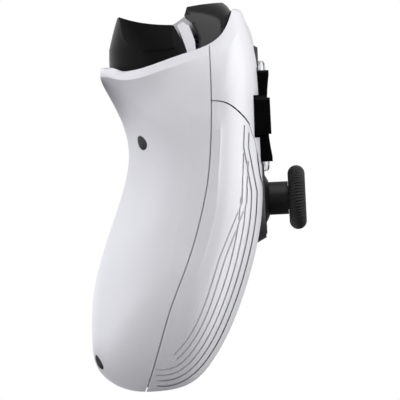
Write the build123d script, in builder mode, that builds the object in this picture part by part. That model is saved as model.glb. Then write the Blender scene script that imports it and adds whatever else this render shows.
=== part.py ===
from build123d import *
from math import cos, hypot, radians, sin, sqrt
import os

os.makedirs("parts", exist_ok=True)

# The gamepad lies on its back, face up. X runs along its width, Y points to the triggers and
# Z out of the face. Its left hand side, which carries the cross pad, is at minus X.

# Body: the core between the sticks, the grips, and how far the body reaches
CORE_X = 12.0
GRIP_X = 52.0
HALF_WIDTH = 76.0
END_PINCH = 0.65        # how much shorter the flank gets at its outermost point
END_SPAN = 38.0         # length of the flank's spine, either way from its middle
WALL = 2.2
SEAM_GAP = 0.3
TONGUE_H = 0.9          # how far the front's inner wall reaches down behind the seam
TONGUE_INSET = 1.2      # depth of that wall's outer face under the skin
COVER_GAP = 0.4

# Side view of a grip and of the core, as (y, z) points in the same order round the body
GRIP_SIDE = [
    (29.5, 1.2), (33.0, 0.15), (42.0, -0.2), (52.0, 2.5), (57.0, 14.0), (57.2, 27.5), (54.6, 35.6),
    (48.2, 39.5), (37.8, 42.7), (20.0, 44.4), (2.0, 45.6), (-7.2, 45.3), (-17.4, 43.6),
    (-33.4, 38.9), (-44.5, 33.5), (-51.0, 27.5), (-53.5, 18.5), (-53.0, 9.5), (-48.1, 2.4),
    (-40.0, 0.3), (-28.0, 0.3), (-14.0, 3.2), (-1.5, 7.0), (9.0, 8.9), (17.0, 7.7), (24.0, 4.3),
]
CORE_SIDE = [
    (28.0, 8.0), (33.0, 7.7), (39.3, 8.6), (43.4, 13.2), (44.8, 20.6), (50.6, 27.0), (50.4, 36.2),
    (45.4, 41.0), (37.0, 42.7), (24.0, 44.1), (12.0, 45.1), (2.0, 45.8), (-5.0, 45.7),
    (-10.5, 43.9), (-14.0, 40.0), (-15.5, 35.0), (-15.5, 30.0), (-14.0, 25.0), (-11.0, 20.5),
    (-7.0, 17.0), (-1.5, 14.0), (5.0, 11.7), (11.0, 10.2), (16.0, 9.2), (20.5, 8.6), (24.5, 8.2),
]
FRONT_SPLIT = 8         # where each section changes from its upper to its lower curve
REAR_SPLIT = 20
FLANK_ANGLES = (18, 36, 52, 66, 78)

# Seam between the rear and the front shell, and the edge of each grip panel, in the side view
SEAM = [(-60.0, 13.0), (-52.7, 15.7), (-40.8, 18.9), (-29.8, 21.8), (-18.7, 25.6), (-6.4, 28.8),
        (4.6, 30.6), (15.6, 31.1), (26.2, 30.9), (34.7, 30.4), (42.9, 29.8), (64.0, 29.8)]
PANEL_EDGE = [(26.6, 26.0), (26.2, 30.8), (25.8, 34.7), (24.0, 37.7), (21.6, 40.2), (18.4, 42.3),
              (13.2, 43.6), (3.7, 45.4), (-1.0, 48.0)]
# Rim of the shoulder openings, where the triggers and bumpers come out
RIM = [(34.2, 0.6), (34.5, 2.0), (33.7, 5.7), (34.1, 9.8), (36.5, 16.6), (39.1, 23.3),
       (41.8, 29.8), (44.1, 32.7), (47.9, 34.8), (51.5, 35.8)]
SHOULDER_X = 22.0       # half width of the bridge between the two shoulder openings


def seam_height(y):
    """Height of the shell seam at y."""
    for (y0, z0), (y1, z1) in zip(SEAM, SEAM[1:]):
        if y <= y1:
            return z0 + (z1 - z0) * (y - y0) / (y1 - y0)
    return SEAM[-1][1]


def inset_outline(points, inset):
    """Side outline moved inwards along its own normals."""
    moved = []
    for i, (y, z) in enumerate(points):
        before, after = points[i - 1], points[(i + 1) % len(points)]
        dy, dz = after[0] - before[0], after[1] - before[1]
        length = hypot(dy, dz)
        moved.append((y - inset * dz / length, z + inset * dy / length))
    return moved


def outline_at(x, inset):
    """Side outline of the body at x: core, then grip, then the flank that closes it."""
    reach = abs(x)
    if reach <= GRIP_X:
        t = min(1, max(0, (reach - CORE_X) / (GRIP_X - CORE_X)))
        t = t * t * (3 - 2 * t)
        points = [(c[0] + (g[0] - c[0]) * t, c[1] + (g[1] - c[1]) * t)
                  for c, g in zip(CORE_SIDE, GRIP_SIDE)]
        return inset_outline(points, inset)
    s = (reach - GRIP_X) / (HALF_WIDTH - inset - GRIP_X)
    shrink = sqrt(1 - s * s)
    pinch = 1 - END_PINCH * (1 - shrink)
    points = []
    for y, z in inset_outline(GRIP_SIDE, inset):
        spine_y = min(END_SPAN, max(-END_SPAN, y))
        points.append((spine_y * pinch + (y - spine_y) * shrink,
                       seam_height(spine_y * pinch) + (z - seam_height(spine_y)) * shrink))
    return points


# Spline parameters that all the sections share, so that the lofts stay even
LENGTHS = [hypot(b[0] - a[0], b[1] - a[1]) ** 0.5
           for a, b in zip(GRIP_SIDE, GRIP_SIDE[1:] + GRIP_SIDE[:1])]
KNOTS = [sum(LENGTHS[:i]) / sum(LENGTHS) for i in range(len(GRIP_SIDE) + 1)]


def half_curve(points, start, end):
    """Spline through the outline's points from one index to another, going round."""
    count = len(points)
    order = list(range(start, end + 1 if end > start else count + end + 1))
    vectors = [Vector(*points[i % count]) for i in order]
    knots = [KNOTS[i % count] + i // count for i in order]
    slopes = []
    for i in (start, end):
        before = KNOTS[i] - KNOTS[i - 1]
        after = KNOTS[i + 1] - KNOTS[i]
        here, last, following = (Vector(*points[j % count]) for j in (i, i - 1, i + 1))
        slopes.append(((here - last) * (after / before) + (following - here) * (before / after))
                      / (before + after))
    return Edge.make_spline(vectors, tangents=slopes, parameters=knots, scale=False)


def body(inset):
    """The whole closed body, shoulders included, made smaller all round by an inset."""
    flank = [GRIP_X + (HALF_WIDTH - inset - GRIP_X) * sin(radians(a)) for a in FLANK_ANGLES]
    side = [CORE_X, 22, 32, 42, GRIP_X] + flank
    with BuildPart() as shape:
        for x in [-s for s in reversed(side)] + [0] + side:
            outline = outline_at(x, inset)
            with BuildSketch(Plane.YZ.offset(x)):
                with BuildLine():
                    add(half_curve(outline, FRONT_SPLIT, REAR_SPLIT))
                    add(half_curve(outline, REAR_SPLIT, FRONT_SPLIT))
                make_face()
        loft()
    return shape.part


def side_region(curve, closing, reach=90.0, x_from=None):
    """Prism along X whose side outline is a curve closed by straight lines."""
    start = -reach if x_from is None else x_from
    with BuildPart() as region:
        with BuildSketch(Plane.YZ.offset(start)):
            with BuildLine():
                Spline(*curve)
                Polyline(curve[-1], *closing, curve[0])
            make_face()
        extrude(amount=reach - start)
    return region.part


# Face plane: flat top of the centre panel, which all the controls and the board follow
FACE_Z = 46.3
FACE_TILT = 4.5
tilt = radians(FACE_TILT)
FACE = Plane(origin=(0, 0, FACE_Z), x_dir=(1, 0, 0), z_dir=(0, sin(tilt), cos(tilt)))
REST_GAP = 0.3          # gap that a moving piece keeps from its stop
RUN_FIT = 0.1           # radial clearance of a turning bore
THREAD_FIT = 0.05       # radial clearance round a screw's thread or a fixed pin
SIDES = (-1, 1)

# Stick module under the pivot: fixed housing and two nested yokes
HOUSING_W = 14.0
HOUSING_WALL = 1.0
HOUSING_TOP = 7.7       # depth of its rim below the face
OUTER_YOKE_W = 10.4
INNER_YOKE_W = 7.2
YOKE_WALL = 1.0
YOKE_H = 2.0
TRUNNION_R = 0.8
SHAFT_R = 2.2
SHAFT_END = 13.4
SPIGOT_R = 3.2
SPIGOT_H = 2.6
STICK_DISH = 0.9
SENSOR = (3.0, 8.0, 5.0)
TRUNNION_END = 0.2      # how far each trunnion stays inside the face that it could reach

# Cross pad
PAD_BASE_R = 12.6
PAD_BASE_TOP = 5.1
PAD_BASE_T = 1.2
PAD_LEG_R = 1.8
PAD_LEG_PITCH = 7.5
PAD_DISH_R = 68.0
PAD_DISH_DEPTH = 1.1    # how far the middle lies below the arm tips
PAD_LEG_GAP = 0.9
PAD_POST_R = 2.0
ROCKER_R = 4.6
ROCKER_T = 1.2
ROCKER_GAP = 0.5

# Rubber sheets under the pad and the buttons
DOME_BASE_R = 3.1
DOME_HEAD_R = 2.1
LEG_R = 2.0

# Main board, in the face plane's own x, v and depth
BOARD_DEPTH = 16.0      # top of the board below the face plane
BOARD_T = 1.6
BOARD_W = 118.0
BOARD_BOTTOM = -11.5
BOARD_TOP = 37.2
TONGUE_W = 15.0
TONGUE_TOP = 45.0

# Case screws on the plus X side: x, y, the level where the head seats and where the tip ends
SCREW_HEAD_R = 1.75
SCREW_HOLE_R = 1.9
SCREW_R = 1.0
BOSS_R = 3.4
FRONT_BOSS_R = 3.0
SIDE_SCREW = (66.0, 14.2, 21.0, 37.0)
TAIL_SCREW = (57.0, -46.0, 9.0, 26.0)
BRIDGE_SCREW = (16.0, 40.0, 16.0, 36.0)
CASE_SCREWS = [SIDE_SCREW, TAIL_SCREW, BRIDGE_SCREW]
SCREW_HEAD_T = 1.4
SCREW_SLOT = (2.0, 0.45, 0.7)
BOARD_SCREWS = [(30.0, 27.0), (9.0, -7.5)]
BOARD_POST_R = 2.6
BOARD_SCREW_R = 0.8
BOARD_SCREW_HEAD_T = 1.1
BOARD_SCREW_L = 8.6
BOARD_CORNER_R = 1.5
CHIPS = [(-8.0, 3.0, 9.0, 9.0, 1.0), (9.0, 14.0, 6.0, 5.0, 1.2), (-40.0, 6.0, 5.0, 5.0, 1.0),
         (42.0, 4.0, 7.0, 4.0, 1.4)]

# Stick, cross pad and face buttons, placed in the face plane
STICK_X = 27.0
STICK_V = 0.0
PIVOT_DEPTH = 10.2
DOME_R = 12.3
DOME_T = 1.1
DOME_SPREAD = 66.0
STEM_R = 4.5
CAP_R = 8.75
CAP_T = 4.7
CAP_UNDER = 6.5
STICK_HOLE_R = 8.9
RING_T = 0.7
RING_DEPTH = 1.0
RING_RISE = 0.25
PAD_X = -50.0
PAD_V = 22.6
PAD_SPAN = 25.0
PAD_ARM = 10.0
PAD_RISE = 2.7
PAD_GAP = 0.8
BUTTON_X = 50.0
BUTTON_V = 22.6
BUTTON_PITCH = 9.9
BUTTON_R = 5.2
BUTTON_RISE = 1.7
BUTTON_TRAVEL = 1.2
BUTTON_FIT = 0.15
FLANGE_DEPTH = 5.2
ISLAND_R = 15.0
ISLAND_RING = 2.0
FLANGE_T = 1.2
CAP_WALL = 1.0
CAP_TOP_T = 1.1
CAP_EDGE = 1.0
CAP_CROWN = 0.3
BUTTON_FLANGE = 0.7
GUIDE_WALL = 1.3

# Centre panel in the face plane
PANEL_T = 2.0
PANEL_LIP_T = 4.2
PANEL_LIP_V = -6.0
PANEL_DRAFT = 30.0
LOBE_R = 10.6
PANEL_CHIN = -9.5       # v of the chin between the sticks
PANEL_SHOULDER = (30.0, 6.0)
PANEL_NECK = (25.0, 18.0)
PANEL_TOP = (23.0, 41.4)
PANEL_CORNER_R = 2.0
PANEL_GAP = 0.25
LEDGE_T = 1.4
LEDGE_W = 2.2

# Triggers: a pin along X carries each one
TRIGGER_PIN_Y = 37.1
TRIGGER_PIN_Z = 19.3
TRIGGER_PIN_R = 1.25
TRIGGER_TRAVEL = 13.0
PIN_FROM_X = 25.5
PIN_TO_X = 63.0
CONTROL_INSET = 2.6     # how far the triggers and bumpers lie inside the body's skin
SKIRT_INSET = 2.8
CONTROL_WALL = 2.0
CONTROL_GAP = 0.6
BRACKET_T = 2.0
TRIGGER_SIDE = [(31.0, 3.6), (33.0, 2.75), (37.1, 2.2), (41.5, 2.5), (44.8, 3.2), (47.6, 4.2),
                (48.4, 5.0)]
TRIGGER_FACE = [(48.4, 5.0), (47.4, 8.9), (46.8, 13.5), (46.7, 19.4)]
TRIGGER_BACK = [(46.7, 19.4), (46.4, 20.1), (44.5, 21.2), (41.8, 22.7), (39.0, 23.3), (37.0, 23.3),
                (33.5, 14.0), (31.0, 9.0), (31.0, 3.6)]
TRIGGER_CREASE = [(49.5, 4.4), (46.0, 5.4), (42.7, 6.3), (40.3, 8.3), (39.4, 13.7), (40.4, 20.5)]
TRIGGER_HOLLOW = [(28.0, 6.3), (33.2, 4.9), (37.2, 4.3), (41.3, 4.5), (45.6, 6.0), (45.4, 8.9),
                  (44.8, 13.5), (44.7, 18.4), (43.6, 19.4), (40.5, 21.0), (39.5, 21.2), (37.0, 26.0),
                  (28.0, 26.0)]
TRIGGER_EAR = [(35.0, 17.0), (37.5, 22.0), (45.6, 19.4), (46.0, 9.0), (40.5, 12.0)]
EAR_T = 2.0
EAR_X = (29.2, 57.4)
BRACKET_X = (26.2, 60.4)
BRACKET_W = 6.0
COIL_R = 2.1
COIL_WIRE = 0.6
COIL_PITCH = 0.95
COIL_TURNS = 6
COIL_X = 34.0

# Middle frame: the pale strip between each trigger and bumper, and the bridge that joins them
STRIP_SIDE = [(36.5, 24.4), (38.6, 24.2), (41.3, 23.2), (44.6, 21.9), (46.6, 20.9), (47.6, 22.4),
              (46.6, 24.2), (42.6, 25.9), (39.5, 26.3), (36.5, 26.3)]
BRIDGE_BAR = (36.0, 3.0, 4.8)
BRIDGE_Y = 34.5
BRIDGE_TOP = 25.2
SHELF_T = 1.3

# Bumpers: an upright pin beside the bridge carries each one
BUMPER_PIN_X = 25.6
BUMPER_PIN_Y = 43.0
BUMPER_PIN_R = 1.0
BUMPER_PIN_Z = 23.4
BUMPER_PIN_L = 10.4
BUMPER_FACE = [(51.7, 23.4), (52.7, 28.4), (53.3, 34.0)]
BUMPER_BACK = [(53.3, 34.0), (52.4, 35.3), (51.9, 38.0), (47.0, 38.0), (42.5, 36.5), (39.5, 32.8),
               (38.2, 29.0), (38.0, 27.2), (43.4, 26.9), (47.2, 25.0), (48.6, 23.2), (49.3, 22.8),
               (51.7, 23.4)]
BUMPER_HOLLOW = [(36.0, 28.8), (43.0, 28.8), (48.2, 26.8), (50.0, 25.6), (50.7, 28.5), (51.2, 33.0),
                 (47.0, 34.0), (36.0, 34.0)]
HINGE_BLOCK_X = 30.0
SWITCH_X = 36.0
SWITCH_W = 5.0
SWITCH_H = 3.4
SWITCH_V = 33.4
SWITCH_L = 2.6
SWITCH_KEY = (2.0, 0.5, 1.4)
SWITCH_RIB = (3.0, 13.2, 2.4)
SWITCH_RIB_Y = 43.6
ROOT = 0.1              # how deep a rib starts inside the wall that it stands on

# Battery
BATTERY = (40.0, 23.0, 7.6)
BATTERY_Y = 15.5
BATTERY_Z = 16.0
BATTERY_CORNER_R = 2.0
BATTERY_EDGE_R = 1.0
RIB_T = 1.2

# Rumble motors in the grips
MOTOR_X = 46.0
MOTOR_Y = -27.0
MOTOR_Z = 18.0
MOTOR_R = 6.5
MOTOR_L = 12.0
WEIGHT_R = 8.5
WEIGHT_T = 5.0
MOTOR_SHAFT_R = 1.0
SHAFT_L = 14.0
HUB_R = 2.4
HUB_L = 0.8
MOTOR_EDGE_R = 0.6
MOTOR_BACK = 3.0        # solid end behind the shaft's bore
WEIGHT_X = 53.3

# Ports
PORT_W = 9.0
PORT_H = 3.2
PORT_WALL = 0.35
JACK_BORE_R = 1.75
JACK_NOSE_R = 2.7
JACK_BORE_L = 11.0
JACK_NOSE_L = 6.0
JACK_DEPTH = 13.0       # of its axis below the face plane
JACK_END_V = -14.6
JACK_BLOCK_L = 9.0
JACK_SHOULDER = 0.4
PORT_TONGUE = (6.6, 0.7)
PORT_BACK = 1.0
PORT_L = 8.0
PORT_END_V = 50.5

# Menu buttons on the centre panel, as (x, v, radius)
MENU_BUTTONS = {"select_button": (-14.0, 27.0, 2.8), "start_button": (14.0, 27.0, 2.8),
                "home_button": (0.0, 31.0, 4.2), "profile_button": (0.0, 14.0, 2.8)}
MENU_RISE = 0.9
MENU_TRAVEL = 0.8
MENU_FLANGE = 0.9
MENU_FLANGE_DEPTH = 2.35
MENU_FLANGE_T = 1.0
MENU_CHAMFER = 0.4
DOME_TOP_DEPTH = 13.3   # top of every rubber dome
SHEET_T = 0.8
SHEET_CORNER_R = 3.0
PAD_SHEET = (22.0, 22.0)
BUTTON_SHEET = (17.0, 27.0)
BUTTON_SHEET_ARMS = (27.8, 8.0)
MENU_SHEET = (36.0, 26.0)
MENU_SHEET_V = 22.5

# Grooves of the grip panels: pairs that start with a straight run, turn at a kink and then
# follow the grip's edge. For each pair: the kink's y, and the stretch of the edge.
GROOVE_DEPTH = 0.3
GROOVE_W = 0.35
GROOVE_PITCH = 1.5
GROOVE_FIRST = 1.5
GROOVE_KINK_Z = 41.4
GROOVE_KINK_STEP = 1.3  # how far the second kink of a pair lies behind the first
GROOVE_RUN = 4.0
GROOVE_PAIRS = [(13.9, 10, 16), (6.2, 11, 16), (-1.2, 12, 15)]
PANEL_X = 42.0          # inner edge of the grip panels


def face_offset(depth):
    """Plane parallel to the face, at a depth below it."""
    return FACE.offset(-depth)


outer_body = body(0)
inner_body = body(WALL)
groove_body = body(GROOVE_DEPTH)
control_body = body(CONTROL_INSET)
skirt_body = body(SKIRT_INSET)
control_core = body(SKIRT_INSET + CONTROL_WALL)


def above_seam(rise):
    """Everything over the seam's curve, moved up by a rise."""
    return side_region([(y, z + rise) for y, z in SEAM], [(64, 70), (-60, 70)])


# The front pieces step down behind the seam, and the rear shell leaves room for that step
rear_region = side_region([(y, z - SEAM_GAP / 2) for y, z in SEAM], [(64, -9), (-60, -9)])
with BuildPart() as front_zone:
    add(body(TONGUE_INSET))
    add(above_seam(SEAM_GAP / 2 - TONGUE_H), mode=Mode.INTERSECT)
    add(above_seam(SEAM_GAP / 2))
with BuildPart() as tongue_room:
    add(body(TONGUE_INSET - RUN_FIT))
    add(above_seam(-SEAM_GAP / 2 - TONGUE_H), mode=Mode.INTERSECT)
notch = side_region(RIM, [(64, 38.6), (64, -9), (RIM[0][0], -9)], x_from=SHOULDER_X)
both_notches = notch + notch.mirror(Plane.YZ)


def panel_zone(grow):
    """Side zone of the plus X grip panel, grown by a gap."""
    edge = [(y + grow * 0.7, z + grow * 0.7) for y, z in PANEL_EDGE]
    return side_region(edge, [(edge[-1][0], 70), (-70, 70), (-70, -9), (edge[0][0], -9)],
                       x_from=PANEL_X - grow)


BUTTONS = {"top_button": (BUTTON_X, BUTTON_V + BUTTON_PITCH),
           "bottom_button": (BUTTON_X, BUTTON_V - BUTTON_PITCH),
           "outer_button": (BUTTON_X + BUTTON_PITCH, BUTTON_V),
           "inner_button": (BUTTON_X - BUTTON_PITCH, BUTTON_V)}


def control_island(grow):
    """Face area round the buttons and the pad that stays with the front shell."""
    with BuildPart() as island:
        with BuildSketch(FACE.offset(-25)):
            with Locations((BUTTON_X, BUTTON_V)):
                Circle(ISLAND_R + grow)
            with Locations(*BUTTONS.values()):
                Circle(BUTTON_R + ISLAND_RING + grow)
        extrude(amount=35)
    return island.part


with BuildPart() as panel_cut:
    add(panel_zone(COVER_GAP))
    add(control_island(-COVER_GAP), mode=Mode.SUBTRACT)
both_panel_cuts = panel_cut.part + panel_cut.part.mirror(Plane.YZ)


def panel_block(grow, under, draft=PANEL_DRAFT):
    """Block with the centre panel's outline and drafted edge, from the face down to a depth."""
    outline = [(x + grow, v) for x, v in (PANEL_SHOULDER, PANEL_NECK)]
    outline.append((PANEL_TOP[0] + grow, PANEL_TOP[1] + grow))
    with BuildPart() as block:
        with BuildSketch(FACE) as plan:
            with Locations((-STICK_X, STICK_V), (STICK_X, STICK_V)):
                Circle(LOBE_R + grow)
            Rectangle(2 * STICK_X, 2 * (grow - PANEL_CHIN))
            with BuildLine():
                Polyline(*outline, *[(-x, v) for x, v in reversed(outline)], close=True)
            make_face()
            fillet(plan.vertices(), PANEL_CORNER_R)
        extrude(amount=-under, taper=-draft)
    return block.part


def below_lip(depth, margin):
    """Space under the thin stretch of the centre panel, above the lip's v."""
    with BuildPart() as space:
        with BuildSketch(face_offset(depth)):
            with Locations((0, PANEL_LIP_V + margin)):
                Rectangle(120, 60, align=(Align.CENTER, Align.MIN))
        extrude(amount=-20)
    return space.part


def stick_point(side, depth=PIVOT_DEPTH):
    """Point on a stick's axis, at a depth below the face."""
    return FACE.from_local_coords((side * STICK_X, STICK_V, -depth))


def case_bosses(radius, z_from, z_to, screws=CASE_SCREWS):
    """Upright cylinders at the case screws of both sides."""
    with BuildPart() as bosses:
        with BuildSketch(Plane.XY.offset(z_from)):
            for x, y, seat, tip in screws:
                with Locations((-x, y), (x, y)):
                    Circle(radius)
        extrude(amount=z_to - z_from)
    return bosses.part


def on_board(depth_from, depth_to, places, size, radius=None):
    """Blocks or cylinders square to the face, between two depths."""
    with BuildPart() as blocks:
        with BuildSketch(face_offset(depth_from)):
            with Locations(*places):
                if radius is None:
                    Rectangle(*size)
                else:
                    Circle(radius)
        extrude(amount=depth_from - depth_to)
    return blocks.part


stick_dome_space = [Sphere(DOME_R + 0.5).moved(Location(stick_point(side))) for side in SIDES]
mirrored_posts = [(side * x, v) for x, v in BOARD_SCREWS for side in SIDES]

# Usb port opening, shared by both shells
with BuildPart() as port_cut:
    with BuildSketch(face_offset(BOARD_DEPTH + BUTTON_FIT)):
        with Locations((0, TONGUE_TOP + 5)):
            Rectangle(PORT_W + 2 * PANEL_GAP, 14)
    extrude(amount=PORT_H + 2 * PANEL_GAP)

# Audio jack: a round nose that looks out of the lower edge, along the face plane's own v
jack_plane = Plane(origin=FACE.from_local_coords((0, JACK_END_V, -JACK_DEPTH)),
                   x_dir=(1, 0, 0), z_dir=-FACE.y_dir)

# Rear shell: bosses, cheeks beside the shoulder openings, battery tray and motor cradles
battery_ends = BATTERY[1] / 2 + REST_GAP + RIB_T / 2
battery_sides = BATTERY[0] / 2 + REST_GAP + RIB_T / 2
with BuildPart() as cheeks:
    with BuildSketch(Plane.XY.offset(-5)):
        with Locations((-SHOULDER_X + WALL / 2, 47), (SHOULDER_X - WALL / 2, 47)):
            Rectangle(WALL, 20)
    extrude(amount=60)
with BuildPart() as rear_ribs:
    add(case_bosses(BOSS_R, -5, 40))
    add(cheeks.part)
    with BuildSketch(Plane.XY.offset(-5)):
        with Locations((0, BATTERY_Y - battery_ends), (0, BATTERY_Y + battery_ends)):
            Rectangle(BATTERY[0], RIB_T)
        with Locations((-battery_sides, BATTERY_Y), (battery_sides, BATTERY_Y)):
            Rectangle(RIB_T, BATTERY[1])
    extrude(amount=BATTERY_Z + 3 + 5)
    with BuildSketch(Plane.XY.offset(-5)):
        with Locations((-15, BATTERY_Y), (0, BATTERY_Y), (15, BATTERY_Y)):
            Rectangle(RIB_T, BATTERY[1])
    extrude(amount=BATTERY_Z - REST_GAP + 5)
    with BuildSketch(Plane.XY.offset(-5)):
        for side in SIDES:
            with Locations((side * (MOTOR_X - 4), MOTOR_Y), (side * (MOTOR_X + 4), MOTOR_Y)):
                Rectangle(RIB_T, 2 * MOTOR_R + 3)
    extrude(amount=MOTOR_Z - 1.5 + 5)
    add(outer_body, mode=Mode.INTERSECT)
with BuildPart() as rear_cuts:
    for x, y, seat, tip in CASE_SCREWS:
        with BuildSketch(Plane.XY.offset(-9)):
            with Locations((-x, y), (x, y)):
                Circle(SCREW_HOLE_R)
        extrude(amount=seat + 9)
    add(case_bosses(SCREW_R + RUN_FIT, -9, 45))
    for side in SIDES:
        with BuildSketch(Plane.YZ.offset(side * (MOTOR_X - MOTOR_L / 2))):
            with Locations((MOTOR_Y, MOTOR_Z)):
                Circle(MOTOR_R + REST_GAP)
        extrude(amount=side * MOTOR_L)
with BuildPart() as rear_shell:
    add(outer_body)
    add(inner_body, mode=Mode.SUBTRACT)
    add(rear_ribs.part)
    add(rear_region, mode=Mode.INTERSECT)
    add(both_notches, mode=Mode.SUBTRACT)
    add(rear_cuts.part, mode=Mode.SUBTRACT)
    add(tongue_room.part, mode=Mode.SUBTRACT)
    add(port_cut.part, mode=Mode.SUBTRACT)
rear_shell.part.label = "rear_shell"
export_step(rear_shell.part, "parts/rear_shell.step")

# Front bosses over the case screws: the bridge's are the front shell's, the others the panels'
with BuildPart() as bridge_posts:
    add(case_bosses(FRONT_BOSS_R, 10, 60, [BRIDGE_SCREW]))
    add(outer_body, mode=Mode.INTERSECT)
with BuildPart() as panel_posts:
    add(case_bosses(FRONT_BOSS_R, 10, 60, [SIDE_SCREW, TAIL_SCREW]))
    add(outer_body, mode=Mode.INTERSECT)
with BuildPart() as screw_bores:
    for x, y, seat, tip in CASE_SCREWS:
        with BuildSketch(Plane.XY.offset(seat)):
            with Locations((-x, y), (x, y)):
                Circle(SCREW_R + THREAD_FIT)
        extrude(amount=tip + 0.5 - seat)

# Front shell: guides round the face buttons, board posts, ledge under the centre panel
ledge_top = PANEL_T + RUN_FIT
lip_top = PANEL_LIP_T + RUN_FIT
with BuildPart() as front_ribs:
    add(on_board(FLANGE_DEPTH - REST_GAP, -6, list(BUTTONS.values()), None, BUTTON_R + GUIDE_WALL))
    add(on_board(BOARD_DEPTH - RUN_FIT, -6, mirrored_posts, None, BOARD_POST_R))
    add(cheeks.part)
    add(panel_block(1.5, lip_top + LEDGE_T, 0))
    add(outer_body, mode=Mode.INTERSECT)
with BuildPart() as ledge_space:
    add(below_lip(ledge_top + LEDGE_T, -LEDGE_T))
    add(panel_block(3.0, 30, 0), mode=Mode.INTERSECT)
    add(on_board(BOARD_DEPTH, 0, mirrored_posts, None, BOARD_POST_R), mode=Mode.SUBTRACT)
    add(on_board(BOARD_DEPTH, 0, list(BUTTONS.values()), None, BUTTON_R + GUIDE_WALL), mode=Mode.SUBTRACT)
with BuildPart() as pocket:
    add(panel_block(PANEL_GAP, lip_top))
    add(below_lip(ledge_top, 0), mode=Mode.SUBTRACT)
with BuildPart() as front_cuts:
    add(pocket.part)
    add(panel_block(-LEDGE_W, 8.5, 0))
    for space in stick_dome_space:
        add(space)
    add(on_board(10, -6, list(BUTTONS.values()), None, BUTTON_R + BUTTON_FIT))
    add(on_board(10, -6, [(PAD_X, PAD_V)], (PAD_SPAN + 2 * PAD_GAP, PAD_ARM + 2 * PAD_GAP)))
    add(on_board(10, -6, [(PAD_X, PAD_V)], (PAD_ARM + 2 * PAD_GAP, PAD_SPAN + 2 * PAD_GAP)))
    add(on_board(BOARD_DEPTH, BOARD_DEPTH - 9, mirrored_posts, None, BOARD_SCREW_R + THREAD_FIT))
with BuildPart() as jack_hole:
    with BuildSketch(jack_plane.offset(-4)):
        Circle(JACK_NOSE_R + PANEL_GAP)
    extrude(amount=14)
with BuildPart() as front_shell:
    add(outer_body)
    add(inner_body, mode=Mode.SUBTRACT)
    add(front_ribs.part)
    add(bridge_posts.part)
    add(front_zone.part, mode=Mode.INTERSECT)
    add(both_notches, mode=Mode.SUBTRACT)
    add(both_panel_cuts, mode=Mode.SUBTRACT)
    add(ledge_space.part, mode=Mode.SUBTRACT)
    add(front_cuts.part, mode=Mode.SUBTRACT)
    add(screw_bores.part, mode=Mode.SUBTRACT)
    add(jack_hole.part, mode=Mode.SUBTRACT)
    add(port_cut.part, mode=Mode.SUBTRACT)
front_shell.part.label = "front_shell"
export_step(front_shell.part, "parts/front_shell.step")


def save_pair(right, name):
    """Write a piece of the plus X side and its mirror image on the minus X side."""
    right.label = "right_" + name
    export_step(right, "parts/right_" + name + ".step")
    with BuildPart() as left:
        mirror(right, about=Plane.YZ)
    left.part.label = "left_" + name
    export_step(left.part, "parts/left_" + name + ".step")


def side_block(points, x_from, x_to):
    """Prism along X with straight-sided outline."""
    with BuildPart() as block:
        with BuildSketch(Plane.YZ.offset(x_from)):
            with BuildLine():
                Polyline(*points, close=True)
            make_face()
        extrude(amount=x_to - x_from)
    return block.part


# Grip panels: the outer front of each grip, with grooves that follow its front edge
with BuildPart() as grooves:
    for i in range(2 * len(GROOVE_PAIRS)):
        kink_y, first, last = GROOVE_PAIRS[i // 2]
        kink = (kink_y, GROOVE_KINK_Z - i % 2 * GROOVE_KINK_STEP)
        start = (kink_y + GROOVE_RUN * (1 + i % 2 / 2), kink[1])
        run = inset_outline(GRIP_SIDE, GROOVE_FIRST + i * GROOVE_PITCH)[first:last + 1]
        with BuildSketch(Plane.YZ.offset(PANEL_X + 4)):
            with BuildLine() as run_line:
                Polyline(start, kink, run[0])
                Spline(*run)
            trace(run_line.line, line_width=GROOVE_W)
        extrude(amount=HALF_WIDTH)
    add(groove_body, mode=Mode.SUBTRACT)
with BuildPart() as grip_panel:
    add(outer_body)
    add(inner_body, mode=Mode.SUBTRACT)
    add(panel_posts.part)
    add(front_zone.part, mode=Mode.INTERSECT)
    add(panel_zone(0), mode=Mode.INTERSECT)
    add(control_island(0), mode=Mode.SUBTRACT)
    add(screw_bores.part, mode=Mode.SUBTRACT)
    add(grooves.part, mode=Mode.SUBTRACT)
save_pair(grip_panel.part, "grip_panel")

# Centre panel, with openings for the sticks and the menu buttons
with BuildPart() as centre_panel:
    add(panel_block(0, PANEL_LIP_T))
    add(below_lip(PANEL_T, 0), mode=Mode.SUBTRACT)
    for space in stick_dome_space:
        add(space, mode=Mode.SUBTRACT)
    with BuildSketch(FACE):
        with Locations((-STICK_X, STICK_V), (STICK_X, STICK_V)):
            Circle(STICK_HOLE_R + RING_T + RUN_FIT)
        for x, v, radius in MENU_BUTTONS.values():
            with Locations((x, v)):
                Circle(radius + BUTTON_FIT)
    extrude(amount=-2 * PANEL_LIP_T, mode=Mode.SUBTRACT)
centre_panel.part.label = "centre_panel"
export_step(centre_panel.part, "parts/centre_panel.step")

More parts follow.
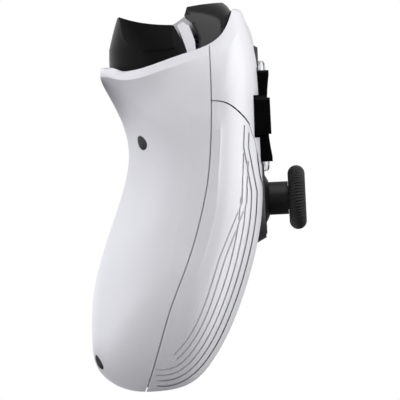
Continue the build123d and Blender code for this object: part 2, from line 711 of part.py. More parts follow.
# Middle frame
pin_y = TRIGGER_PIN_Y
pin_z = TRIGGER_PIN_Z
with BuildPart() as frame_half:
    add(side_block(STRIP_SIDE, SHOULDER_X + CONTROL_GAP, HALF_WIDTH))
    for x in BRACKET_X:
        with BuildSketch(Plane.YZ.offset(x)):
            with Locations((pin_y, (pin_z + STRIP_SIDE[0][1]) / 2 + 0.3)):
                Rectangle(BRACKET_W, STRIP_SIDE[0][1] - pin_z + 0.6)
            with Locations((pin_y, pin_z)):
                Circle(BRACKET_W / 2)
        extrude(amount=BRACKET_T)
    with BuildSketch(Plane.YZ.offset(BRACKET_X[0] - 1)):
        with Locations((pin_y, pin_z)):
            Circle(TRIGGER_PIN_R + THREAD_FIT)
    extrude(amount=HALF_WIDTH, mode=Mode.SUBTRACT)
    with BuildSketch(Plane.XY.offset(BUMPER_PIN_Z - THREAD_FIT)):
        with Locations((BUMPER_PIN_X, BUMPER_PIN_Y)):
            Circle(BUMPER_PIN_R + THREAD_FIT)
    extrude(amount=BUMPER_PIN_L, mode=Mode.SUBTRACT)
    add(control_body, mode=Mode.INTERSECT)
    with BuildSketch(Plane.XY.offset(BRIDGE_TOP - SHELF_T)):
        with Locations((SHOULDER_X, BRIDGE_Y)):
            Rectangle(9, BRIDGE_BAR[1])
        with Locations((SHOULDER_X + CONTROL_GAP + 2, BRIDGE_Y + 2)):
            Rectangle(4, 6)
    extrude(amount=SHELF_T)
with BuildPart() as middle_frame:
    add(frame_half.part)
    mirror(frame_half.part, about=Plane.YZ)
    with BuildSketch(Plane.XY.offset(BRIDGE_TOP - BRIDGE_BAR[2])):
        with Locations((0, BRIDGE_Y)):
            Rectangle(BRIDGE_BAR[0], BRIDGE_BAR[1])
    extrude(amount=BRIDGE_BAR[2])
middle_frame.part.label = "middle_frame"
export_step(middle_frame.part, "parts/middle_frame.step")

# Triggers: a skirt that swings into the shell, and a wider finger pad above its crease
pin_axis = Axis((0, pin_y, pin_z), (1, 0, 0))
with BuildPart() as trigger_side:
    with BuildSketch(Plane.YZ.offset(SHOULDER_X + CONTROL_GAP)):
        with BuildLine():
            Spline(*TRIGGER_SIDE)
            Spline(*TRIGGER_FACE)
            Polyline(*TRIGGER_BACK)
        make_face()
    extrude(amount=HALF_WIDTH)
with BuildPart() as trigger_pad:
    add(trigger_side.part)
    add(side_region(TRIGGER_CREASE, [(60, 20.5), (60, 4.4)]), mode=Mode.INTERSECT)
    add(control_body, mode=Mode.INTERSECT)
with BuildPart() as trigger_hollow:
    add(side_block(TRIGGER_HOLLOW, SHOULDER_X + CONTROL_GAP + CONTROL_WALL, HALF_WIDTH))
    add(control_core, mode=Mode.INTERSECT)
with BuildPart() as trigger:
    add(trigger_side.part)
    add(skirt_body, mode=Mode.INTERSECT)
    add(control_body.rotate(pin_axis, TRIGGER_TRAVEL / 2), mode=Mode.INTERSECT)
    add(control_body.rotate(pin_axis, TRIGGER_TRAVEL), mode=Mode.INTERSECT)
    add(trigger_pad.part)
    add(trigger_hollow.part, mode=Mode.SUBTRACT)
    for x in EAR_X:
        add(side_block(TRIGGER_EAR, x, x + EAR_T))
        with BuildSketch(Plane.YZ.offset(x)):
            with Locations((pin_y, pin_z)):
                Circle(BRACKET_W / 2)
        extrude(amount=EAR_T)
    for x in BRACKET_X:
        with BuildSketch(Plane.YZ.offset(x - CONTROL_GAP)):
            with Locations((pin_y, pin_z + 2)):
                Rectangle(BRACKET_W + 1.6, 12)
        extrude(amount=BRACKET_T + 2 * CONTROL_GAP, mode=Mode.SUBTRACT)
    with BuildSketch(Plane.YZ):
        with Locations((pin_y, pin_z)):
            Circle(TRIGGER_PIN_R + RUN_FIT)
    extrude(amount=PIN_TO_X + 1, mode=Mode.SUBTRACT)
save_pair(trigger.part, "trigger")
with BuildPart() as trigger_pin:
    with BuildSketch(Plane.YZ.offset(PIN_FROM_X)):
        with Locations((pin_y, pin_z)):
            Circle(TRIGGER_PIN_R)
    extrude(amount=PIN_TO_X - PIN_FROM_X)
save_pair(trigger_pin.part, "trigger_pin")
with BuildPart() as trigger_spring:
    with BuildLine() as coil:
        Helix(pitch=COIL_PITCH, height=COIL_PITCH * COIL_TURNS, radius=COIL_R,
              center=(COIL_X, pin_y, pin_z), direction=(1, 0, 0))
    with BuildSketch(Plane(coil.line @ 0, z_dir=coil.line % 0)):
        Circle(COIL_WIRE / 2)
    sweep()
save_pair(trigger_spring.part, "trigger_spring")

# Bumpers: a hollow bar that turns a little on the upright pin beside the bridge, with a rib
# inside that presses its switch
with BuildPart() as bumper_bar:
    with BuildSketch(Plane.YZ.offset(SHOULDER_X + CONTROL_GAP)):
        with BuildLine():
            Spline(*BUMPER_FACE)
            Polyline(*BUMPER_BACK)
        make_face()
    extrude(amount=HALF_WIDTH)
    add(control_body, mode=Mode.INTERSECT)
with BuildPart() as bumper_hollow:
    add(side_block(BUMPER_HOLLOW, HINGE_BLOCK_X, HALF_WIDTH))
    add(control_core, mode=Mode.INTERSECT)
with BuildPart() as bumper:
    add(bumper_bar.part)
    add(bumper_hollow.part, mode=Mode.SUBTRACT)
    with BuildSketch(Plane.XY.offset(BUMPER_HOLLOW[0][1] - ROOT)):
        with Locations((SWITCH_X, SWITCH_RIB_Y)):
            Rectangle(*SWITCH_RIB[:2])
    extrude(amount=SWITCH_RIB[2])
    with BuildSketch(Plane.XY.offset(BUMPER_PIN_Z - BUMPER_PIN_L)):
        with Locations((BUMPER_PIN_X, BUMPER_PIN_Y)):
            Circle(BUMPER_PIN_R + RUN_FIT)
    extrude(amount=2 * BUMPER_PIN_L + REST_GAP, mode=Mode.SUBTRACT)
save_pair(bumper.part, "bumper")
with BuildPart() as bumper_pin:
    with BuildSketch(Plane.XY.offset(BUMPER_PIN_Z)):
        with Locations((BUMPER_PIN_X, BUMPER_PIN_Y)):
            Circle(BUMPER_PIN_R)
    extrude(amount=BUMPER_PIN_L)
save_pair(bumper_pin.part, "bumper_pin")


def upright(side, x, v, depth=0.0):
    """Plane through an upright line in the face plane's frame: its y is the face's normal."""
    return Plane(origin=FACE.from_local_coords((side * x, v, -depth)), x_dir=(1, 0, 0),
                 z_dir=-FACE.y_dir)


def face_axis(x, v, depth=0.0):
    """Axis square to the face."""
    return Axis(FACE.from_local_coords((x, v, -depth)), FACE.z_dir)


# Case screws and board screws, each set in one group
with BuildPart() as case_screws:
    for x, y, seat, tip in CASE_SCREWS:
        with BuildSketch(Plane.XY.offset(seat - THREAD_FIT)):
            with Locations((-x, y), (x, y)):
                Circle(SCREW_HEAD_R)
        extrude(amount=-SCREW_HEAD_T)
        with BuildSketch(Plane.XY.offset(seat - THREAD_FIT)):
            with Locations((-x, y), (x, y)):
                Circle(SCREW_R)
        extrude(amount=tip - seat)
        with BuildSketch(Plane.XY.offset(seat - THREAD_FIT - SCREW_HEAD_T)):
            with Locations((-x, y), (x, y)):
                Rectangle(SCREW_SLOT[0], SCREW_SLOT[1])
                Rectangle(SCREW_SLOT[1], SCREW_SLOT[0])
        extrude(amount=SCREW_SLOT[2], mode=Mode.SUBTRACT)
case_screws.part.label = "case_screws"
export_step(case_screws.part, "parts/case_screws.step")

board_under = BOARD_DEPTH + BOARD_T
with BuildPart() as board_screws:
    with BuildSketch(face_offset(board_under + THREAD_FIT)):
        with Locations(*mirrored_posts):
            Circle(2 * BOARD_SCREW_R)
    extrude(amount=-BOARD_SCREW_HEAD_T)
    with BuildSketch(face_offset(board_under + THREAD_FIT)):
        with Locations(*mirrored_posts):
            Circle(BOARD_SCREW_R)
    extrude(amount=BOARD_SCREW_L)
board_screws.part.label = "board_screws"
export_step(board_screws.part, "parts/board_screws.step")

# Main board with its tongue for the port
with BuildPart() as main_board:
    with BuildSketch(face_offset(BOARD_DEPTH)) as board_plan:
        with Locations((0, BOARD_BOTTOM)):
            Rectangle(BOARD_W, BOARD_TOP - BOARD_BOTTOM, align=(Align.CENTER, Align.MIN))
        with Locations((0, TONGUE_TOP - 12)):
            Rectangle(TONGUE_W, 12, align=(Align.CENTER, Align.MIN))
        fillet(board_plan.vertices(), BOARD_CORNER_R)
        with Locations(*mirrored_posts):
            Circle(BOARD_SCREW_R + RUN_FIT, mode=Mode.SUBTRACT)
        with Locations((PAD_X, PAD_V)):
            Circle(1.0, mode=Mode.SUBTRACT)
    extrude(amount=-BOARD_T)
    for x, v, w, l, h in CHIPS:
        with BuildSketch(face_offset(board_under)):
            with Locations((x, v)):
                Rectangle(w, l)
        extrude(amount=-h)
main_board.part.label = "main_board"
export_step(main_board.part, "parts/main_board.step")

with BuildPart() as bumper_switches:
    with BuildSketch(face_offset(BOARD_DEPTH)):
        with Locations((-SWITCH_X, SWITCH_V), (SWITCH_X, SWITCH_V)):
            Rectangle(SWITCH_W, SWITCH_L, align=(Align.CENTER, Align.MIN))
    extrude(amount=SWITCH_H)
    with BuildSketch(face_offset(BOARD_DEPTH - (SWITCH_H - SWITCH_KEY[2]) / 2)):
        with Locations((-SWITCH_X, SWITCH_V), (SWITCH_X, SWITCH_V)):
            Rectangle(SWITCH_KEY[0], SWITCH_L + SWITCH_KEY[1], align=(Align.CENTER, Align.MIN))
    extrude(amount=SWITCH_KEY[2])
bumper_switches.part.label = "bumper_switches"
export_step(bumper_switches.part, "parts/bumper_switches.step")

# Battery: a flat cell with rounded long edges
with BuildPart() as battery:
    with BuildSketch(Plane.XY.offset(BATTERY_Z)):
        with Locations((0, BATTERY_Y)):
            RectangleRounded(BATTERY[0], BATTERY[1], BATTERY_CORNER_R)
    extrude(amount=BATTERY[2])
    fillet(battery.edges().group_by(Axis.Z)[0] + battery.edges().group_by(Axis.Z)[-1],
           BATTERY_EDGE_R)
battery.part.label = "battery"
export_step(battery.part, "parts/battery.step")

# Usb port: a flat steel sleeve with its tongue, lying on the board's tongue
port_end = Plane(origin=FACE.from_local_coords((0, PORT_END_V, PORT_H / 2 - BOARD_DEPTH)),
                 x_dir=(1, 0, 0), z_dir=-FACE.y_dir)
with BuildPart() as usb_port:
    with BuildSketch(port_end):
        RectangleRounded(PORT_W, PORT_H, PORT_H / 2 - 0.05)
    extrude(amount=PORT_L)
    with BuildSketch(port_end):
        inside_h = PORT_H - 2 * PORT_WALL
        RectangleRounded(PORT_W - 2 * PORT_WALL, inside_h, inside_h / 2 - 0.05)
    extrude(amount=PORT_L - PORT_BACK, mode=Mode.SUBTRACT)
    with BuildSketch(port_end.offset(PORT_BACK)):
        Rectangle(*PORT_TONGUE)
    extrude(amount=PORT_L - 1.5 * PORT_BACK)
usb_port.part.label = "usb_port"
export_step(usb_port.part, "parts/usb_port.step")

# Audio jack: block on the board and a nose with its bore
with BuildPart() as audio_jack:
    with BuildSketch(face_offset(BOARD_DEPTH)):
        with Locations((0, BOARD_BOTTOM + JACK_SHOULDER)):
            Rectangle(2 * (JACK_NOSE_R + JACK_SHOULDER), JACK_BLOCK_L, align=(Align.CENTER, Align.MIN))
    extrude(amount=2 * (BOARD_DEPTH - JACK_DEPTH) - JACK_SHOULDER)
    with BuildSketch(jack_plane):
        Circle(JACK_NOSE_R)
    extrude(amount=-JACK_NOSE_L)
    with BuildSketch(jack_plane):
        Circle(JACK_BORE_R)
    extrude(amount=-JACK_BORE_L, mode=Mode.SUBTRACT)
audio_jack.part.label = "audio_jack"
export_step(audio_jack.part, "parts/audio_jack.step")


def rubber_sheet(places, sheet_size, centre):
    """Rubber sheet on the board with a tapered dome at every place."""
    with BuildPart() as sheet:
        with BuildSketch(face_offset(BOARD_DEPTH)):
            with Locations(centre):
                RectangleRounded(*sheet_size, SHEET_CORNER_R)
        extrude(amount=SHEET_T)
        for x, v in places:
            with BuildSketch(face_offset(BOARD_DEPTH - SHEET_T)):
                with Locations((x, v)):
                    Circle(DOME_BASE_R)
            with BuildSketch(face_offset(DOME_TOP_DEPTH)):
                with Locations((x, v)):
                    Circle(DOME_HEAD_R)
            loft()
    return sheet.part


pad_dome_places = [(PAD_X + dx * PAD_LEG_PITCH, PAD_V + dv * PAD_LEG_PITCH)
                   for dx, dv in ((1, 0), (-1, 0), (0, 1), (0, -1))]
with BuildPart() as pad_membrane:
    add(rubber_sheet(pad_dome_places, PAD_SHEET, (PAD_X, PAD_V)))
    add(on_board(BOARD_DEPTH + 1, 0, [(PAD_X, PAD_V)], None, PAD_POST_R + 2.0), mode=Mode.SUBTRACT)
pad_membrane.part.label = "pad_membrane"
export_step(pad_membrane.part, "parts/pad_membrane.step")
with BuildPart() as button_membrane:
    add(rubber_sheet(list(BUTTONS.values()), BUTTON_SHEET, (BUTTON_X, BUTTON_V)))
    with BuildSketch(face_offset(BOARD_DEPTH)):
        with Locations((BUTTON_X, BUTTON_V)):
            RectangleRounded(*BUTTON_SHEET_ARMS, SHEET_CORNER_R)
    extrude(amount=SHEET_T)
button_membrane.part.label = "button_membrane"
export_step(button_membrane.part, "parts/button_membrane.step")
menu_places = [(x, v) for x, v, radius in MENU_BUTTONS.values()]
with BuildPart() as menu_membrane:
    add(rubber_sheet(menu_places, MENU_SHEET, (0.0, MENU_SHEET_V)))
menu_membrane.part.label = "menu_membrane"
export_step(menu_membrane.part, "parts/menu_membrane.step")

# Cross pad: post on the board, rocker ring round its head, and the pad on top
rocker_top = PAD_BASE_TOP + PAD_BASE_T + ROCKER_GAP
with BuildPart() as pad_post:
    with BuildSketch(face_offset(BOARD_DEPTH)):
        with Locations((PAD_X, PAD_V)):
            Circle(PAD_POST_R + 1.6)
    extrude(amount=1.0)
    with BuildSketch(face_offset(BOARD_DEPTH)):
        with Locations((PAD_X, PAD_V)):
            Circle(PAD_POST_R)
    extrude(amount=BOARD_DEPTH - rocker_top)
pad_post.part.label = "pad_post"
export_step(pad_post.part, "parts/pad_post.step")
with BuildPart() as pad_rocker:
    with BuildSketch(face_offset(rocker_top)):
        with Locations((PAD_X, PAD_V)):
            Circle(ROCKER_R)
            Circle(PAD_POST_R + REST_GAP, mode=Mode.SUBTRACT)
    extrude(amount=-ROCKER_T)
pad_rocker.part.label = "pad_rocker"
export_step(pad_rocker.part, "parts/pad_rocker.step")
with BuildPart() as cross_pad:
    with BuildSketch(face_offset(PAD_BASE_TOP + PAD_BASE_T)):
        with Locations((PAD_X, PAD_V)):
            Circle(PAD_BASE_R)
    extrude(amount=PAD_BASE_T)
    with BuildSketch(face_offset(PAD_BASE_TOP)) as cross_plan:
        with Locations((PAD_X, PAD_V)):
            Rectangle(PAD_SPAN, PAD_ARM)
            Rectangle(PAD_ARM, PAD_SPAN)
        fillet(cross_plan.vertices(), 0.8)
    extrude(amount=PAD_BASE_TOP + PAD_RISE)
    with Locations(FACE.from_local_coords((PAD_X, PAD_V, PAD_RISE - PAD_DISH_DEPTH + PAD_DISH_R))):
        Sphere(PAD_DISH_R, mode=Mode.SUBTRACT)
    with BuildSketch(face_offset(PAD_BASE_TOP + PAD_BASE_T)):
        with Locations(*pad_dome_places):
            Circle(PAD_LEG_R)
    extrude(amount=-(DOME_TOP_DEPTH - PAD_LEG_GAP - PAD_BASE_TOP - PAD_BASE_T))
cross_pad.part.label = "cross_pad"
export_step(cross_pad.part, "parts/cross_pad.step")

# Face buttons: a clear cap over an opaque core with its flange and leg
cap_roof = BUTTON_RISE - CAP_TOP_T
cap_foot = THREAD_FIT - FLANGE_DEPTH
for name, (x, v) in BUTTONS.items():
    with BuildPart() as core:
        with BuildSketch(face_offset(FLANGE_DEPTH)):
            with Locations((x, v)):
                Circle(BUTTON_R + BUTTON_FLANGE)
        extrude(amount=-FLANGE_T)
        with BuildSketch(face_offset(FLANGE_DEPTH)):
            with Locations((x, v)):
                Circle(BUTTON_R - CAP_WALL - THREAD_FIT)
        extrude(amount=FLANGE_DEPTH + BUTTON_RISE - CAP_TOP_T - 2 * THREAD_FIT)
        with BuildSketch(face_offset(FLANGE_DEPTH + FLANGE_T)):
            with Locations((x, v)):
                Circle(LEG_R)
        extrude(amount=-(DOME_TOP_DEPTH - BUTTON_TRAVEL - REST_GAP - FLANGE_DEPTH - FLANGE_T))
    core.part.label = name + "_core"
    export_step(core.part, "parts/" + name + "_core.step")
    with BuildPart() as cap:
        with BuildSketch(upright(1, x, v)):
            with BuildLine():
                Polyline((0, cap_roof), (BUTTON_R - CAP_WALL, cap_roof), (BUTTON_R - CAP_WALL, cap_foot),
                         (BUTTON_R, cap_foot), (BUTTON_R, BUTTON_RISE - CAP_EDGE))
                RadiusArc((BUTTON_R, BUTTON_RISE - CAP_EDGE), (BUTTON_R - CAP_EDGE, BUTTON_RISE),
                          -CAP_EDGE)
                Spline((BUTTON_R - CAP_EDGE, BUTTON_RISE), (BUTTON_R / 2, BUTTON_RISE + 0.75 * CAP_CROWN),
                       (0, BUTTON_RISE + CAP_CROWN), tangents=((-1, CAP_CROWN / 2), (-1, 0)))
                Line((0, BUTTON_RISE + CAP_CROWN), (0, cap_roof))
            make_face()
        revolve(axis=face_axis(x, v))
    cap.part.label = name + "_cap"
    export_step(cap.part, "parts/" + name + "_cap.step")

# Menu buttons: low round keys under the centre panel
for name, (x, v, radius) in MENU_BUTTONS.items():
    with BuildPart() as key:
        with BuildSketch(face_offset(MENU_FLANGE_DEPTH)):
            with Locations((x, v)):
                Circle(radius + MENU_FLANGE)
        extrude(amount=-MENU_FLANGE_T)
        with BuildSketch(face_offset(MENU_FLANGE_DEPTH)):
            with Locations((x, v)):
                Circle(radius)
        extrude(amount=MENU_FLANGE_DEPTH + MENU_RISE)
        chamfer(key.edges().sort_by(Axis(FACE.origin, FACE.z_dir))[-1], MENU_CHAMFER)
        with BuildSketch(face_offset(MENU_FLANGE_DEPTH + MENU_FLANGE_T)):
            with Locations((x, v)):
                Circle(LEG_R)
        extrude(amount=-(DOME_TOP_DEPTH - MENU_TRAVEL - REST_GAP - MENU_FLANGE_DEPTH - MENU_FLANGE_T))
    key.part.label = name
    export_step(key.part, "parts/" + name + ".step")

# Sticks: housing on the board, two nested yokes, the stick with its dome, and the rubber cap
sx = STICK_X
sv = STICK_V
inner_half = HOUSING_W / 2 - HOUSING_WALL
with BuildPart() as stick_housing:
    with BuildSketch(face_offset(BOARD_DEPTH)):
        with Locations((sx, sv)):
            Rectangle(HOUSING_W, HOUSING_W)
    extrude(amount=BOARD_DEPTH - HOUSING_TOP)
    with BuildSketch(face_offset(BOARD_DEPTH - HOUSING_WALL)):
        with Locations((sx, sv)):
            Rectangle(2 * inner_half, 2 * inner_half)
    extrude(amount=BOARD_DEPTH, mode=Mode.SUBTRACT)
    with BuildSketch(face_offset(BOARD_DEPTH)):
        with Locations((sx + HOUSING_W / 2, sv)):
            Rectangle(SENSOR[0], SENSOR[1], align=(Align.MIN, Align.CENTER))
        with Locations((sx, sv - HOUSING_W / 2)):
            Rectangle(SENSOR[1], SENSOR[0], align=(Align.CENTER, Align.MAX))
    extrude(amount=SENSOR[2])
    with BuildSketch(Plane.YZ.offset(sx - HOUSING_W)):
        with Locations((stick_point(1).Y, stick_point(1).Z)):
            Circle(TRUNNION_R + RUN_FIT)
    extrude(amount=2 * HOUSING_W, mode=Mode.SUBTRACT)
save_pair(stick_housing.part, "stick_housing")


def yoke(width, height, hole, reach, along_x):
    """Square yoke round the pivot with a trunnion on either side."""
    with BuildPart() as ring:
        with BuildSketch(face_offset(PIVOT_DEPTH + height / 2)):
            with Locations((sx, sv)):
                Rectangle(width, width)
        extrude(amount=height)
        turned = Plane.YZ if along_x else Plane(origin=(0, 0, 0), x_dir=(1, 0, 0), z_dir=FACE.y_dir)
        middle = stick_point(1)
        with BuildSketch(Plane(origin=middle, x_dir=turned.x_dir, z_dir=turned.z_dir)):
            Circle(TRUNNION_R)
        extrude(amount=reach, both=True)
        with BuildSketch(face_offset(PIVOT_DEPTH + height / 2 + 1)):
            with Locations((sx, sv)):
                if along_x:
                    Rectangle(hole, hole)
                else:
                    Circle(hole / 2)
        extrude(amount=height + 2, mode=Mode.SUBTRACT)
    return ring.part


outer_hole = OUTER_YOKE_W - 2 * YOKE_WALL
with BuildPart() as outer_yoke:
    add(yoke(OUTER_YOKE_W, YOKE_H, outer_hole, HOUSING_W / 2 - TRUNNION_END, True))
    with BuildSketch(Plane(origin=stick_point(1), x_dir=(1, 0, 0), z_dir=FACE.y_dir)):
        Circle(TRUNNION_R + RUN_FIT)
    extrude(amount=OUTER_YOKE_W, both=True, mode=Mode.SUBTRACT)
save_pair(outer_yoke.part, "stick_outer_yoke")
with BuildPart() as inner_yoke:
    add(yoke(INNER_YOKE_W, YOKE_H, 2 * (SHAFT_R + RUN_FIT), OUTER_YOKE_W / 2 - TRUNNION_END / 2, False))
save_pair(inner_yoke.part, "stick_inner_yoke")

dome_edge = radians(DOME_SPREAD)
dome_in = DOME_R - DOME_T
crown = radians(DOME_SPREAD * 0.6)
stem_top = PIVOT_DEPTH + CAP_UNDER
shaft_top = (SHAFT_R, sqrt(dome_in ** 2 - SHAFT_R ** 2))
stem_foot = (STEM_R, sqrt(DOME_R ** 2 - STEM_R ** 2))


def on_dome(radius, angle):
    """Point of the dome's section at an angle from the stick's axis."""
    return (radius * sin(angle), radius * cos(angle))


with BuildPart() as stick:
    with BuildSketch(upright(1, sx, sv, PIVOT_DEPTH)):
        with BuildLine():
            Polyline((0, PIVOT_DEPTH - SHAFT_END), (SHAFT_R, PIVOT_DEPTH - SHAFT_END), shaft_top)
            ThreePointArc(shaft_top, on_dome(dome_in, crown), on_dome(dome_in, dome_edge))
            Line(on_dome(dome_in, dome_edge), on_dome(DOME_R, dome_edge))
            ThreePointArc(on_dome(DOME_R, dome_edge), on_dome(DOME_R, crown), stem_foot)
            Polyline(stem_foot, (STEM_R, stem_top - THREAD_FIT), (SPIGOT_R, stem_top - THREAD_FIT),
                     (SPIGOT_R, stem_top + SPIGOT_H), (0, stem_top + SPIGOT_H),
                     (0, PIVOT_DEPTH - SHAFT_END))
        make_face()
    revolve(axis=face_axis(sx, sv))
save_pair(stick.part, "stick")

round_r = CAP_T / 2
rim_x = CAP_R - round_r
socket_top = CAP_UNDER + SPIGOT_H + THREAD_FIT
dish_low = CAP_UNDER + CAP_T - STICK_DISH
dish_r = (rim_x ** 2 + STICK_DISH ** 2) / (2 * STICK_DISH)
dish_half = sqrt(dish_r ** 2 - (rim_x / 2) ** 2)
with BuildPart() as stick_cap:
    with BuildSketch(upright(1, sx, sv)):
        with BuildLine():
            Polyline((0, socket_top), (SPIGOT_R + THREAD_FIT, socket_top),
                     (SPIGOT_R + THREAD_FIT, CAP_UNDER), (rim_x, CAP_UNDER))
            ThreePointArc((rim_x, CAP_UNDER), (CAP_R, CAP_UNDER + round_r), (rim_x, CAP_UNDER + CAP_T))
            ThreePointArc((rim_x, CAP_UNDER + CAP_T), (rim_x / 2, dish_low + dish_r - dish_half),
                          (0, dish_low))
            Line((0, dish_low), (0, socket_top))
        make_face()
    revolve(axis=face_axis(sx, sv))
save_pair(stick_cap.part, "stick_cap")

with BuildPart() as stick_ring:
    with BuildSketch(face_offset(RING_DEPTH)):
        with Locations((sx, sv)):
            Circle(STICK_HOLE_R + RING_T)
            Circle(STICK_HOLE_R, mode=Mode.SUBTRACT)
    extrude(amount=RING_DEPTH + RING_RISE)
save_pair(stick_ring.part, "stick_ring")

# Rumble motors in the grips, with their off-centre weights
with BuildPart() as rumble_motor:
    with BuildSketch(Plane.YZ.offset(MOTOR_X - MOTOR_L / 2)):
        with Locations((MOTOR_Y, MOTOR_Z)):
            Circle(MOTOR_R)
    extrude(amount=MOTOR_L)
    fillet(rumble_motor.edges(), MOTOR_EDGE_R)
    with BuildSketch(Plane.YZ.offset(MOTOR_X + MOTOR_L / 2)):
        with Locations((MOTOR_Y, MOTOR_Z)):
            Circle(HUB_R)
    extrude(amount=HUB_L)
    with BuildSketch(Plane.YZ.offset(MOTOR_X - MOTOR_L / 2 + MOTOR_BACK)):
        with Locations((MOTOR_Y, MOTOR_Z)):
            Circle(MOTOR_SHAFT_R + RUN_FIT)
    extrude(amount=MOTOR_L, mode=Mode.SUBTRACT)
save_pair(rumble_motor.part, "rumble_motor")
with BuildPart() as rumble_weight:
    with BuildSketch(Plane.YZ.offset(WEIGHT_X)):
        with Locations((MOTOR_Y, MOTOR_Z)):
            Circle(WEIGHT_R)
            Rectangle(2 * WEIGHT_R, WEIGHT_R, align=(Align.CENTER, Align.MIN), mode=Mode.SUBTRACT)
            Circle(HUB_R)
    extrude(amount=WEIGHT_T)
    with BuildSketch(Plane.YZ.offset(WEIGHT_X + WEIGHT_T)):
        with Locations((MOTOR_Y, MOTOR_Z)):
            Circle(MOTOR_SHAFT_R)
    extrude(amount=-SHAFT_L)
save_pair(rumble_weight.part, "rumble_weight")
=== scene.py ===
import bmesh
import bpy
from math import cos, exp, radians
from mathutils import Matrix, Vector
from mathutils.kdtree import KDTree


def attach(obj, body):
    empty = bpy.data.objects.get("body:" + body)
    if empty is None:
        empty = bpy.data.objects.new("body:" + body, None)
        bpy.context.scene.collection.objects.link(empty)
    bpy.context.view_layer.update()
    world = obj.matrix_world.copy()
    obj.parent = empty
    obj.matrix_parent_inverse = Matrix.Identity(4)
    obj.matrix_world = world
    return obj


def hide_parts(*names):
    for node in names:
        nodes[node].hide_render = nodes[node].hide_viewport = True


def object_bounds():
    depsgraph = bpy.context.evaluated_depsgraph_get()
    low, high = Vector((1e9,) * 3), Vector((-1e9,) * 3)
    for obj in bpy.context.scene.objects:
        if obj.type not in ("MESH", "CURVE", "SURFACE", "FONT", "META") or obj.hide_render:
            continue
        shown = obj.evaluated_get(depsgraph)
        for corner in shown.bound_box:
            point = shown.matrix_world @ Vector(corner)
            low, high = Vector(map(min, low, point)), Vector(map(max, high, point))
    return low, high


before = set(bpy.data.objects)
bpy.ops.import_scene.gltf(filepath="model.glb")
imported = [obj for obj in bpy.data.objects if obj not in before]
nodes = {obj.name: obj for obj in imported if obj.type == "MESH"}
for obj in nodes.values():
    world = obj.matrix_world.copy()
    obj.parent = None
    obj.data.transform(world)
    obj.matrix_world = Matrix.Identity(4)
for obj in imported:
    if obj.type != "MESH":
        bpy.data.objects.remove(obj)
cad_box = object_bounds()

scene = bpy.context.scene
scene.view_settings.view_transform = "Standard"

# The photograph is a product shot of the pad's left side, so square on that it shows no
# perspective. The camera looks along +X, turned by the small roll that the picture has.
PICTURE_WIDTH = 0.4             # thousands of pixels, so that the scale below gives metres
PX_PER_MM = 3.66
ROLL = 0.02984                  # radians
AIM = Vector((0.0, -0.00089, 0.02861))
CAMERA_AWAY = 0.6
CAMERA_REACH = 5.0
camera_data = bpy.data.cameras.new("camera")
camera_data.type = "ORTHO"
camera_data.ortho_scale = PICTURE_WIDTH / PX_PER_MM
camera_data.clip_end = CAMERA_REACH
camera = bpy.data.objects.new("camera", camera_data)
scene.collection.objects.link(camera)
right = Vector((0, ROLL, cos(ROLL)))
up = Vector((0, cos(ROLL), -ROLL))
turn = Matrix((right, up, right.cross(up))).transposed().to_4x4()
camera.matrix_world = Matrix.Translation(AIM - Vector((CAMERA_AWAY, 0, 0))) @ turn
scene.camera = camera


# A white room in a studio. It is dark where the camera stands, bright at the sides and
# behind the pad, and brighter over the shoulders than under the tails of the grips.
class Wire:
    """A shader socket that can be used in sums."""

    def __init__(self, paint, socket):
        self.paint = paint
        self.socket = socket

    def _math(self, operation, a, b):
        return self.paint.add("ShaderNodeMath", {"operation": operation}, {0: a, 1: b})

    def __add__(self, other):
        return self._math("ADD", self, other)

    __radd__ = __add__

    def __sub__(self, other):
        return self._math("SUBTRACT", self, other)

    def __rsub__(self, other):
        return self._math("SUBTRACT", other, self)

    def __mul__(self, other):
        return self._math("MULTIPLY", self, other)

    def __abs__(self):
        return self.paint.add("ShaderNodeMath", {"operation": "ABSOLUTE"}, {0: self})

    def __getitem__(self, name):
        return Wire(self.paint, self.socket.node.outputs[name])


class Paint:
    """An emptied node tree: its nodes are added one by one, with their settings and inputs."""

    def __init__(self, owner):
        owner.use_nodes = True
        self.owner = owner
        self.tree = owner.node_tree
        self.tree.nodes.clear()

    def add(self, kind, settings, inputs):
        node = self.tree.nodes.new(kind)
        for key, value in settings.items():
            setattr(node, key, value)
        for key, value in inputs.items():
            if isinstance(value, Wire):
                self.tree.links.new(value.socket, node.inputs[key])
            else:
                node.inputs[key].default_value = value
        return Wire(self, node.outputs[0]) if node.outputs else None

    def end(self, kind, shader):
        """The tree's output node, and what the tree belongs to."""
        self.add(kind, {}, {"Surface": shader})
        return self.owner

    def step(self, value, low, high, bottom=0.0, top=1.0):
        """The bottom value below low and the top one above high, with a smooth change between."""
        return self.add("ShaderNodeMapRange", {"interpolation_type": "SMOOTHSTEP"},
                        {"Value": value, "From Min": low, "From Max": high, "To Min": bottom,
                         "To Max": top})


FRONT_LIGHT = 0.12              # light from where the camera stands
SIDE_LIGHT = 0.60               # light from the sides and from behind
LOW_SHARE = 0.05                # share of the light that comes from under the tails
room = bpy.data.worlds.new("room")
scene.world = room
sky = Paint(room)
ray = sky.add("ShaderNodeSeparateXYZ", {},
              {0: sky.add("ShaderNodeTexCoord", {}, {})["Generated"]})
beside = sky.step(ray["X"], -1.0, 0.1, FRONT_LIGHT, SIDE_LIGHT)
height = sky.step(ray["Y"], -0.7, 0.7, LOW_SHARE, 1.0)
lighting = sky.add("ShaderNodeBackground", {},
                   {"Color": (0.985, 0.985, 1.0, 1), "Strength": beside * height})
backdrop = sky.add("ShaderNodeBackground", {}, {"Color": (1, 1, 1, 1)})
path = sky.add("ShaderNodeLightPath", {}, {})
straight = path["Is Camera Ray"] + path["Is Transmission Ray"]
shown = sky.add("ShaderNodeMixShader", {}, {0: straight, 1: lighting, 2: backdrop})
sky.end("ShaderNodeOutputWorld", shown)


